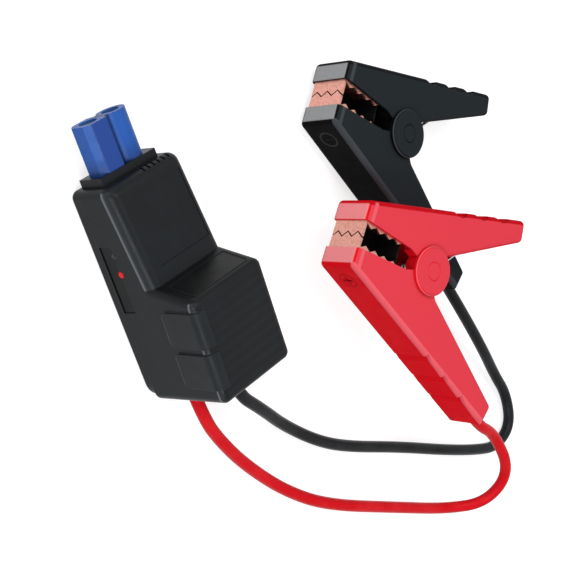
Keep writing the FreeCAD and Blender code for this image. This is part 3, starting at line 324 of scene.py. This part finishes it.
# Places on the case, in millimetres of the module's own frame
CASE_HALF_WIDE = 19.0
CASE_HALF_LONG = 42.5
LEDGE_HEAD_Y = -1.8
LEDGE_FOOT_Y = 3.5
LEDGE_HEAD_Z = 43.0
LEDGE_FOOT_Z = 25.5
COVER_TOP = 5.0
THIN_HIGH = 21.0
THIN_EDGE = 4.5
BLOCK_EDGE = 2.8
RIB_PITCH = 3.9
RIB_FROM_Z = 40.2
RIB_DEEP = 0.00005
PLUG_X = -1.0
PLUG_TOP_Z = 15.0
PLUG_ROOT_Y = 45.5

# Pads' places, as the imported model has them
PAD_FRONT = 4.2
PAD_SIDE = 17.5
PAD_LONG = 14.2
BLOCK_END_Z = 41.4
BLOCK_RUN = 40.7
PAD_FALL = math.atan2(LEDGE_HEAD_Z - BLOCK_END_Z, BLOCK_RUN)
PAD_BACKS = (3.6, 20.2)


def edge_highlight(finish, hand, start, up, round_size, stretch):
    """Paints a highlight on a rounded long edge: brightest where it leaves the side, fading
    towards the front.
    """
    height = distance(finish, MODULE, start, up)
    aside = distance(finish, MODULE, (hand * (CASE_HALF_WIDE - round_size), 0, 0), (hand, 0, 0))
    place = both(finish, finish.spread(aside, -0.2, 0.1), stretch)
    rise = finish.spread(height, -round_size - 0.3, -round_size + 0.1)
    # Painted highlights: a broad soft sheen and a narrow bright line.
    for share, colour in ((-0.1, linear(52, 55, 58)), (-0.72, linear(104, 107, 112))):
        fade = finish.spread(height, -round_size + 0.3, share * round_size, 1.0, 0.0)
        finish.tint(both(finish, both(finish, rise, fade), place), colour)


def between(finish, low, high):
    """A share of 1 between two places along the case."""
    after = finish.spread(distance(finish, MODULE, (0, low, 0), (0, 1, 0)), -0.2, 0.4)
    before = finish.spread(distance(finish, MODULE, (0, high, 0), (0, -1, 0)), -0.2, 0.4)
    return both(finish, after, before)


def case_plastic():
    """Black moulded case: painted shade on the ledge, painted highlights on the rounded long
    edges, and fine ribs on the thick block's front.
    """
    finish = moulded("case_plastic", linear(20, 23, 26), linear(28, 32, 35), 0.34)
    thin_fall = (LEDGE_FOOT_Z - THIN_HIGH) / (CASE_HALF_LONG - LEDGE_FOOT_Y)
    thin = between(finish, LEDGE_FOOT_Y, CASE_HALF_LONG - 1.0)
    block = between(finish, -CASE_HALF_LONG, LEDGE_HEAD_Y)
    for hand in (-1, 1):
        edge_highlight(finish, hand, (0, CASE_HALF_LONG, THIN_HIGH), (0, thin_fall, 1),
                  THIN_EDGE, thin)
        edge_highlight(finish, hand, (0, LEDGE_HEAD_Y, LEDGE_HEAD_Z), (0, -math.tan(PAD_FALL), 1),
                  BLOCK_EDGE, block)
    # Painted shade: the ledge between the thick block and the thin part is darkened, all but the
    # edge on its left side.
    head = finish.spread(distance(finish, MODULE, (0, LEDGE_HEAD_Y, 0), (0, 1, 0)), -0.3, 0.2)
    foot = finish.spread(distance(finish, MODULE, (0, LEDGE_FOOT_Y, 0), (0, -1, 0)), -0.3, 0.2)
    inside = finish.spread(distance(finish, MODULE, (-CASE_HALF_WIDE, 0, 0), (1, 0, 0)), 0.3, 0.9)
    finish.tint(both(finish, both(finish, head, foot), inside), linear(12, 13, 14))
    ribs = finish.add("ShaderNodeMath", operation="SINE")
    phase = finish.spread(distance(finish, MODULE, (0, 0, 0), (0, 1, 0)),
                          0.0, RIB_PITCH, 0.0, 2 * math.pi)
    phase.node.clamp = False
    finish.join(phase, ribs.inputs[0])
    front = finish.spread(distance(finish, MODULE, (0, 0, RIB_FROM_Z), (0, 0, 1)), 0.0, 0.6)
    finish.bump(both(finish, ribs.outputs["Value"], front), RIB_DEEP)
    return finish


def pad_plastic():
    """Soft grip pad with a painted highlight along its back rim."""
    finish = moulded("pad_rubber", linear(28, 31, 34), linear(40, 44, 47), 0.42, 2000.0, 0.00004)
    foot = distance(finish, MODULE, (-CASE_HALF_WIDE, LEDGE_HEAD_Y, LEDGE_HEAD_Z - PAD_SIDE),
                    (0, -math.tan(PAD_FALL), 1))
    # Painted highlight along the rim at the pad's foot.
    finish.tint(finish.spread(foot, 0.1, 0.55, 0.9, 0.0), linear(92, 96, 100))
    return finish


def plug_plastic():
    """Blue plug with painted shade: darker towards the collar, on the left barrel's front facet
    and in the gap between the barrels.
    """
    finish = moulded("plug_blue", linear(34, 82, 160), linear(44, 92, 172), 0.4, 2600.0, 0.00002)
    # Painted shade towards the collar.
    root = finish.spread(distance(finish, MODULE, (0, PLUG_ROOT_Y, 0), (0, 1, 0)),
                         0.0, 7.0, 0.6, 0.0)
    finish.tint(root, linear(24, 34, 74))
    # Painted shade on the left barrel's front facet.
    front = finish.spread(distance(finish, MODULE, (0, 0, PLUG_TOP_Z - 0.5), (0, 0, 1)), 0.0, 0.4)
    left = finish.spread(distance(finish, MODULE, (PLUG_X, 0, 0), (-1, 0, 0)), 0.2, 0.4)
    finish.tint(both(finish, front, left), linear(34, 66, 138))
    # Painted shade in the gap between the two barrels.
    for hand in (-1, 1):
        away = distance(finish, MODULE, (PLUG_X, 0, 0), (hand, 0, 0))
        other_way = distance(finish, MODULE, (PLUG_X, 0, 0), (-hand, 0, 0))
        gap = finish.spread(away, 0.4, 1.6, 1.0, 0.0)
        finish.tint(both(finish, gap, finish.spread(other_way, 0.0, 0.1, 1.0, 0.0)),
                    linear(20, 28, 52))
    return finish


def beyond(finish, home, start, way, soft=0.3):
    """A share of 1 past a plane of one group's own frame."""
    return finish.spread(distance(finish, home, start, way), 0.0, soft)


STRIPE_FROM = 2.0
STRIPE_TO = 4.2
LIP_DEEP = 0.6
LIP_FRAME = 1.2


def handle_plastic(clamp, home, colour, light, lip_highlight_tone, lit_side_tone, highlight_tone, shade):
    """A clamp's plastic with painted light: a lighter lit tone on the upward sides and cap tops;
    painted highlights on the speckled lips, the cap rims, a stripe behind the jaw front and the
    lower arms' long edges; and painted shade on the upper arms' long edges.
    """
    finish = moulded(f"handle_{clamp}", colour, light, 0.5, 2400.0, 0.00003)
    # Painted light: the upward side and the caps' tops are a lighter, lit tone.
    on_flank = both(finish, beyond(finish, home, (0, 0, FLANK_Z - 0.7), (0, 0, 1)),
                    beyond(finish, home, (0, 0, FLANK_Z + 0.5), (0, 0, -1)))
    finish.tint(on_flank, lit_side_tone)
    finish.tint(beyond(finish, home, (0, 0, CAP_TOP_Z - 0.5), (0, 0, 1)), lit_side_tone)
    # Painted highlight round the caps' rims.
    on_rim = both(finish, beyond(finish, home, (0, 0, CAP_TOP_Z - 1.2), (0, 0, 1)),
                  beyond(finish, home, (0, 0, CAP_TOP_Z - 0.4), (0, 0, -1)))
    finish.tint(on_rim, highlight_tone)
    # Painted highlight on the lower arms' long outer edges, painted shade on the upper arms'.
    round_part = both(finish, beyond(finish, home, (0, 0, FLANK_Z - EDGE), (0, 0, 1)),
                      beyond(finish, home, (0, 0, FLANK_Z + 0.3), (0, 0, -1)))
    for tone, slope, hand in ((highlight_tone, LOWER_SLOPE, -1), (shade, UPPER_SLOPE, 1)):
        outer = beyond(finish, home, (-JAW_REACH, hand * (JAW_OUTER - EDGE), 0), (-slope, hand, 0))
        finish.tint(both(finish, outer, round_part), tone)
    # Painted highlight in a stripe on the upward side just behind the jaw front.
    stripe = both(finish, beyond(finish, home, (STRIPE_FROM - JAW_REACH, 0, 0), (1, 0, 0)),
                  beyond(finish, home, (STRIPE_TO - JAW_REACH, 0, 0), (-1, 0, 0)))
    finish.tint(both(finish, on_flank, stripe), highlight_tone)
    # Painted highlight, speckled, on the jaws' front lips.
    lip_highlight_share = both(finish, finish.spread(finish.noise(1500.0, 2.0), 0.35, 0.65, 0.9, 1.0),
                   beyond(finish, home, (LIP_DEEP - JAW_REACH, 0, 0), (-1, 0, 0)))
    for way, reach in (((0, 0, 1), FLANK_Z), ((0, 0, -1), FLANK_Z),
                       ((0, 1, 0), JAW_OUTER), ((0, -1, 0), JAW_OUTER)):
        inside = beyond(finish, home, Vector(way) * (LIP_FRAME - reach), way, 0.5)
        lip_highlight_share = both(finish, lip_highlight_share, inside)
    finish.tint(lip_highlight_share, lip_highlight_tone)
    return finish


case = case_plastic()
panel = moulded("panel_plastic", linear(4, 5, 6), linear(9, 10, 12), 0.3, 3400.0, 0.00001)
pad_rubber = pad_plastic()
blue = plug_plastic()
# Colours: own tone, random lighter tone, painted lip highlight, painted lit side, painted
# highlight, painted shade.
red = handle_plastic("red", RED, linear(222, 14, 28), linear(230, 26, 38),
                     linear(255, 150, 154), linear(218, 62, 74), linear(226, 92, 102),
                     linear(190, 12, 26))
black = handle_plastic("black", BLACK, linear(10, 10, 11), linear(16, 16, 17),
                       linear(156, 157, 158), linear(34, 39, 42), linear(62, 66, 70),
                       linear(16, 18, 20))
copper = metal("jaw_copper", linear(208, 152, 138), linear(184, 120, 104), 0.4)
steel = metal("bright_steel", linear(200, 202, 206), linear(150, 152, 156), 0.28)
brass = metal("contact_brass", linear(222, 190, 120), linear(180, 150, 90), 0.3)
red_jacket = soft_cover("cord_red", linear(204, 12, 24), linear(222, 40, 48), 0.34)
black_jacket = soft_cover("cord_black", linear(20, 23, 25), linear(42, 46, 49), 0.36)
board_green = moulded("board_green", linear(20, 84, 44), linear(30, 100, 56), 0.35)
relay_black = moulded("relay_black", linear(28, 28, 30), linear(38, 38, 40), 0.45)
# Dark for the painted shade lines round the grip pads and for the case's parting line.
seam_dark = moulded("seam_shadow", linear(8, 9, 10), linear(14, 15, 16), 0.6)
line_grey = moulded("line_grey", linear(66, 70, 74), linear(78, 82, 86), 0.45)
liner_black = moulded("jaw_liner", linear(14, 14, 15), linear(22, 22, 23), 0.6)
red_mark = moulded("mark_red", linear(184, 10, 23), linear(192, 18, 30), 0.5)
black_mark = moulded("mark_black", linear(46, 49, 52), linear(54, 57, 60), 0.5)


def lens(name, colour, light, roughness, share):
    """A small clear lens, lighter in random patches, which on the dark mode lens are painted
    glints.
    """
    finish = Finish(name, colour, roughness)
    finish.tint(finish.spread(finish.noise(700.0), 0.4, 0.7, 0.0, share), light)
    return finish


red_light = lens("status_light", linear(214, 12, 26), linear(226, 24, 38), 0.2, 0.4)
red_light.shader.inputs["Emission Color"].default_value = linear(242, 20, 34)
red_light.shader.inputs["Emission Strength"].default_value = 0.12
# The mode lens's lighter patches are painted glints.
dark_light = lens("mode_light", linear(20, 20, 22), linear(96, 98, 104), 0.12, 0.5)

# Low gloss keeps the dark and red plastics deep under a white sky
GLOSS = (
    (0.16, (blue,)),
    (0.12, (case, panel, pad_rubber, black_jacket, relay_black, liner_black)),
    (0.12, (red_light, dark_light)),
    (0.06, (red_jacket,)),
    (0.02, (red, black, red_mark, black_mark)),
)
for gloss, finishes in GLOSS:
    for finish in finishes:
        finish.shader.inputs["Specular IOR Level"].default_value = gloss

FINISHES = {
    "rear_cover": case, "front_housing": case, "plug_collar": case, "side_panel": panel,
    "grip_pad_1": pad_rubber, "grip_pad_2": pad_rubber, "plug_body": blue,
    "status_lens": red_light, "mode_lens": dark_light, "circuit_board": board_green,
    "left_relay": relay_black, "right_relay": relay_black, "capacitor": steel,
    "left_contact": brass, "right_contact": brass, "red_lug": brass, "black_lug": brass,
    "red_gland": case, "black_gland": case,
    "red_terminal": brass, "black_terminal": brass,
}
for index in range(1, 5):
    FINISHES[f"cover_screw_{index}"] = steel
for clamp, plastic in (("red", red), ("black", black)):
    for part in ("lower_handle", "upper_handle", "near_cap", "far_cap"):
        FINISHES[f"{clamp}_{part}"] = plastic
    for part in ("lower_jaw", "upper_jaw"):
        FINISHES[f"{clamp}_{part}"] = copper
    for part in ("spring", "pivot_pin"):
        FINISHES[f"{clamp}_{part}"] = steel


def wear(piece, finish):
    piece.data.materials.clear()
    piece.data.materials.append(finish.material)


for name, finish in FINISHES.items():
    wear(nodes[name], finish)
wear(red_lead, red_jacket)
wear(black_lead, black_jacket)

# Small pieces that the solids leave out, in millimetres of their own group's frame


def settle(name, mesh, home, body, finish):
    """Turns a mesh in millimetres of one group's frame into a piece that rides a body."""
    bmesh.ops.transform(mesh, matrix=home @ Matrix.Scale(MM, 4), verts=mesh.verts)
    bmesh.ops.recalc_face_normals(mesh, faces=mesh.faces)
    data = bpy.data.meshes.new(name)
    mesh.to_mesh(data)
    mesh.free()
    piece = bpy.data.objects.new(name, data)
    bpy.context.scene.collection.objects.link(piece)
    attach(piece, body)
    wear(piece, finish)
    return piece


def thicken(mesh, amount):
    """Gives a sheet of faces a thickness, as one closed shell."""
    bmesh.ops.solidify(mesh, geom=mesh.faces[:] + mesh.edges[:] + mesh.verts[:], thickness=amount)


def round_corners(mesh, corners, radius):
    bmesh.ops.bevel(mesh, geom=corners, offset=radius, offset_type="OFFSET", segments=6,
                    profile=0.5, affect="VERTICES", material=-1)


def border(mesh, width):
    """Leaves only a rim of the mesh's one face."""
    bmesh.ops.inset_region(mesh, faces=mesh.faces[:], thickness=width, use_even_offset=True,
                           use_boundary=True)
    middle = max(mesh.faces, key=lambda face: face.calc_area())
    bmesh.ops.delete(mesh, geom=[middle], context="FACES")


SEAM_WIDE = 0.3
SEAM_PROUD = 0.14
SEAM_THICK = 0.1
SEAM_ROUND = 2.6
ARC_STEPS = 8


def pad_shade_line(name, back):
    """Thin dark bed that shows as a line round a grip pad: painted shade where the pad meets the
    case.
    """
    mesh = bmesh.new()
    reach = BLOCK_EDGE + SEAM_PROUD
    spots = [(-SEAM_PROUD, -PAD_SIDE - SEAM_WIDE), (-SEAM_PROUD, -BLOCK_EDGE)]
    for step in range(1, ARC_STEPS):
        angle = math.pi - step * math.pi / (2 * ARC_STEPS)
        spots.append((BLOCK_EDGE + reach * math.cos(angle), -BLOCK_EDGE + reach * math.sin(angle)))
    spots += [(BLOCK_EDGE, SEAM_PROUD), (PAD_FRONT + SEAM_WIDE, SEAM_PROUD)]
    line = [mesh.verts.new((x, SEAM_WIDE, z)) for x, z in spots]
    edges = [mesh.edges.new(pair) for pair in zip(line, line[1:])]
    grown = bmesh.ops.extrude_edge_only(mesh, edges=edges)["geom"]
    moved = [item for item in grown if isinstance(item, bmesh.types.BMVert)]
    bmesh.ops.translate(mesh, vec=(0.0, -PAD_LONG - 2 * SEAM_WIDE, 0.0), verts=moved)
    feet = [vert for vert in mesh.verts if vert.co.z < -PAD_SIDE]
    round_corners(mesh, feet, SEAM_ROUND)
    thicken(mesh, SEAM_THICK)
    start = Vector((-CASE_HALF_WIDE, LEDGE_HEAD_Y - back * math.cos(PAD_FALL),
                    LEDGE_HEAD_Z - back * math.sin(PAD_FALL)))
    place = Matrix.Translation(start) @ Matrix.Rotation(PAD_FALL, 4, "X")
    bmesh.ops.transform(mesh, matrix=place, verts=mesh.verts)
    return settle(name, mesh, MODULE, "lead", seam_dark)


# Painted shade lines round the two grip pads.
for number, back in enumerate(PAD_BACKS, start=1):
    pad_shade_line(f"pad_shade_line_{number}", back)

GASKET_PROUD = 0.05
GASKET_THICK = 0.24
GASKET_WIDE = 0.8
GASKET_ROUND = 3.4


def case_seam():
    """Fine gasket between the rear cover and the housing."""
    mesh = bmesh.new()
    wide = CASE_HALF_WIDE + GASKET_PROUD
    long = CASE_HALF_LONG + GASKET_PROUD
    corners = [mesh.verts.new((i * wide, j * long, COVER_TOP - GASKET_THICK / 2))
               for i, j in ((-1, -1), (1, -1), (1, 1), (-1, 1))]
    mesh.faces.new(corners)
    round_corners(mesh, corners, GASKET_ROUND)
    border(mesh, GASKET_WIDE)
    thicken(mesh, GASKET_THICK)
    return settle("case_seam", mesh, MODULE, "lead", seam_dark)


case_seam()

LEDGE_FOOT = Vector((0.0, LEDGE_FOOT_Y, LEDGE_FOOT_Z))
LEDGE_HEAD = Vector((0.0, LEDGE_HEAD_Y, LEDGE_HEAD_Z))
THIN_END = Vector((0.0, CASE_HALF_LONG, THIN_HIGH))
LINE_PROUD = 0.06
RECESS_DEEP = 0.4


def raised_line(name, end, lift, sides, shares, corner_round, width, thick, finish):
    """Fine raised line on a slope of the case: between two sides and two shares of its run."""
    mesh = bmesh.new()
    run = end - LEDGE_FOOT
    across = Vector((1.0, 0.0, 0.0))
    proud = across.cross(run).normalized()
    proud *= lift if proud.z > 0 else -lift
    left, right = sides
    low, high = shares
    corners = [mesh.verts.new(LEDGE_FOOT + run * share + proud + across * side)
               for side, share in ((left, low), (right, low), (right, high), (left, high))]
    mesh.faces.new(corners)
    if corner_round:
        round_corners(mesh, corners, corner_round)
    border(mesh, width)
    thicken(mesh, thick)
    return settle(name, mesh, MODULE, "lead", finish)


raised_line("ledge_line", LEDGE_HEAD, lift=LINE_PROUD, sides=(-14.5, 15.5),
            shares=(0.16, 0.84), corner_round=1.2, width=0.28, thick=0.12, finish=pad_rubber)
raised_line("label_line", THIN_END, lift=LINE_PROUD - RECESS_DEEP, sides=(-10.6, 15.1),
            shares=(0.175, 0.825), corner_round=0.0, width=0.35, thick=0.1, finish=line_grey)

# Marks on the lower arms' outer faces, in a clamp's own frame
MARK_AT = 9.0
MARK_ROUND = 4.2
MARK_LINE = 0.8
MARK_BAR = 2.6
MARK_THICK = 0.3
MARK_PROUD = 0.02


def polarity_mark(clamp, home, finish):
    """The inlay of the ring with a bar, or with a cross on the red clamp."""
    lean = math.atan(LOWER_SLOPE)
    spot = Vector((MARK_AT - JAW_REACH, -JAW_OUTER - MARK_AT * LOWER_SLOPE, 0.0))
    face = (Matrix.Translation(spot) @ Matrix.Rotation(-lean, 4, "Z")
            @ Matrix.Rotation(math.pi / 2, 4, "X"))
    mesh = bmesh.new()
    bmesh.ops.create_circle(mesh, cap_ends=True, segments=48, radius=MARK_ROUND)
    border(mesh, MARK_LINE)
    bars = [(MARK_LINE / 2, MARK_BAR)]
    if clamp == "red":
        bars.append((MARK_BAR, MARK_LINE / 2))
    for half_x, half_y in bars:
        mesh.faces.new([mesh.verts.new((i * half_x, j * half_y, 0.0))
                        for i, j in ((-1, -1), (1, -1), (1, 1), (-1, 1))])
    thicken(mesh, MARK_THICK)
    face = face @ Matrix.Translation((0.0, 0.0, MARK_PROUD))
    bmesh.ops.transform(mesh, matrix=face, verts=mesh.verts)
    return settle(f"{clamp}_mark", mesh, home, "lead", finish)


polarity_mark("red", RED, red_mark)
polarity_mark("black", BLACK, black_mark)

LINER_FRONT = -40.1
LINER_BACK = -18.2
LINER_FAR = 8.8
LINER_NEAR = {-1: 1.1, 1: -1.5}
LINER_HALF = 7.25
LINER_THICK = 0.3


def jaw_liner(clamp, side, home, body):
    """Black plate inside a metal jaw, along its far wall and across its back."""
    mesh = bmesh.new()
    far, near = side * LINER_FAR, LINER_NEAR[side]
    tray = ((LINER_FRONT, far), (LINER_BACK, far), (LINER_BACK, near), (LINER_FRONT, near))
    base = mesh.faces.new([mesh.verts.new((x, y, -LINER_HALF)) for x, y in tray])
    back = max(base.edges, key=lambda edge: sum(vert.co.x for vert in edge.verts))
    grown = bmesh.ops.extrude_edge_only(mesh, edges=[back])["geom"]
    moved = [item for item in grown if isinstance(item, bmesh.types.BMVert)]
    bmesh.ops.translate(mesh, vec=(0.0, 0.0, 2 * LINER_HALF), verts=moved)
    thicken(mesh, LINER_THICK)
    which = "lower" if side < 0 else "upper"
    return settle(f"{clamp}_{which}_liner", mesh, home, body, liner_black)


for clamp, home in (("red", RED), ("black", BLACK)):
    jaw_liner(clamp, -1, home, "lead")
    jaw_liner(clamp, 1, home, f"{clamp}_upper_arm")

# Springs, in millimetres of a clamp's own frame
SAME_SPOT = 0.001
SHARP_ANGLE = math.radians(40)


def spring_wire(clamp):
    """The spring's wire, a smooth-shaded copy of the spring's mesh; on the real clamp its coil
    winds up between its two legs as the clamp opens.
    """
    mesh = bmesh.new()
    mesh.from_mesh(nodes[f"{clamp}_spring"].data)
    bmesh.ops.remove_doubles(mesh, verts=mesh.verts, dist=SAME_SPOT * MM)
    data = bpy.data.meshes.new(f"{clamp}_spring_wire")
    mesh.to_mesh(data)
    mesh.free()
    data.shade_smooth()
    data.set_sharp_from_angle(angle=SHARP_ANGLE)
    piece = bpy.data.objects.new(f"{clamp}_spring_wire", data)
    bpy.context.scene.collection.objects.link(piece)
    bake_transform(piece)
    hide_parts(f"{clamp}_spring")
    wear(piece, steel)
    return piece


spring_wire("red")
spring_wire("black")

# Floor's and sky's looks


def seen_by(tree):
    """1 for camera, glossy and transmission rays, which see the white background."""
    path = tree.nodes.new("ShaderNodeLightPath")
    seen = path.outputs["Is Camera Ray"]
    for kind in ("Is Glossy Ray", "Is Transmission Ray"):
        either = tree.nodes.new("ShaderNodeMath")
        either.operation = "MAXIMUM"
        tree.links.new(seen, either.inputs[0])
        tree.links.new(path.outputs[kind], either.inputs[1])
        seen = either.outputs["Value"]
    return seen


FLOOR_GLOW = 0.72
SKY_LIGHT = 0.4


def floor_look():
    finish = Finish("floor_white", linear(190, 190, 191), 0.9)
    tree = finish.tree
    output = tree.nodes["Material Output"]
    light = finish.add("ShaderNodeEmission")
    light.inputs["Strength"].default_value = FLOOR_GLOW
    lit = finish.add("ShaderNodeAddShader")
    finish.join(finish.shader.outputs[0], lit.inputs[0])
    finish.join(light.outputs[0], lit.inputs[1])
    choice = finish.add("ShaderNodeMixShader")
    finish.join(seen_by(tree), choice.inputs[0])
    finish.join(finish.shader.outputs[0], choice.inputs[1])
    finish.join(lit.outputs[0], choice.inputs[2])
    finish.join(choice.outputs[0], output.inputs["Surface"])
    finish.tint(finish.spread(finish.noise(2.0), 0.3, 0.7), linear(187, 188, 189))
    return finish


wear(floor, floor_look())

world = bpy.data.worlds.new("studio")
bpy.context.scene.world = world
world.use_nodes = True
tree = world.node_tree
sky = tree.nodes["Background"]
sky.inputs["Color"].default_value = (1.0, 1.0, 1.0, 1.0)
level = tree.nodes.new("ShaderNodeMapRange")
level.inputs["To Min"].default_value = SKY_LIGHT
level.inputs["To Max"].default_value = 1.0
tree.links.new(seen_by(tree), level.inputs["Value"])
tree.links.new(level.outputs["Result"], sky.inputs["Strength"])

LAMPS = (
    ("top_light", (-0.25, 0.35, 1.1), 0.8, 6.5),
    ("left_light", (-1.1, 0.15, 0.5), 0.6, 3.0),
    ("low_light", (-0.41, -0.78, 0.66), 0.4, 5.0),
)
LAMPS_AIM = Vector((0.0, 0.0, 0.02))


def softbox(name, at, size, power):
    """A large soft area lamp aimed at the object."""
    data = bpy.data.lights.new(name, "AREA")
    data.shape = "SQUARE"
    data.size = size
    data.energy = power
    lamp = bpy.data.objects.new(name, data)
    bpy.context.scene.collection.objects.link(lamp)
    lamp.location = at
    aim = LAMPS_AIM - Vector(at)
    lamp.rotation_euler = aim.to_track_quat("-Z", "Y").to_euler()


for lamp_facts in LAMPS:
    softbox(*lamp_facts)

bpy.context.scene.view_settings.view_transform = "Standard"

bpy.context.view_layer.update()
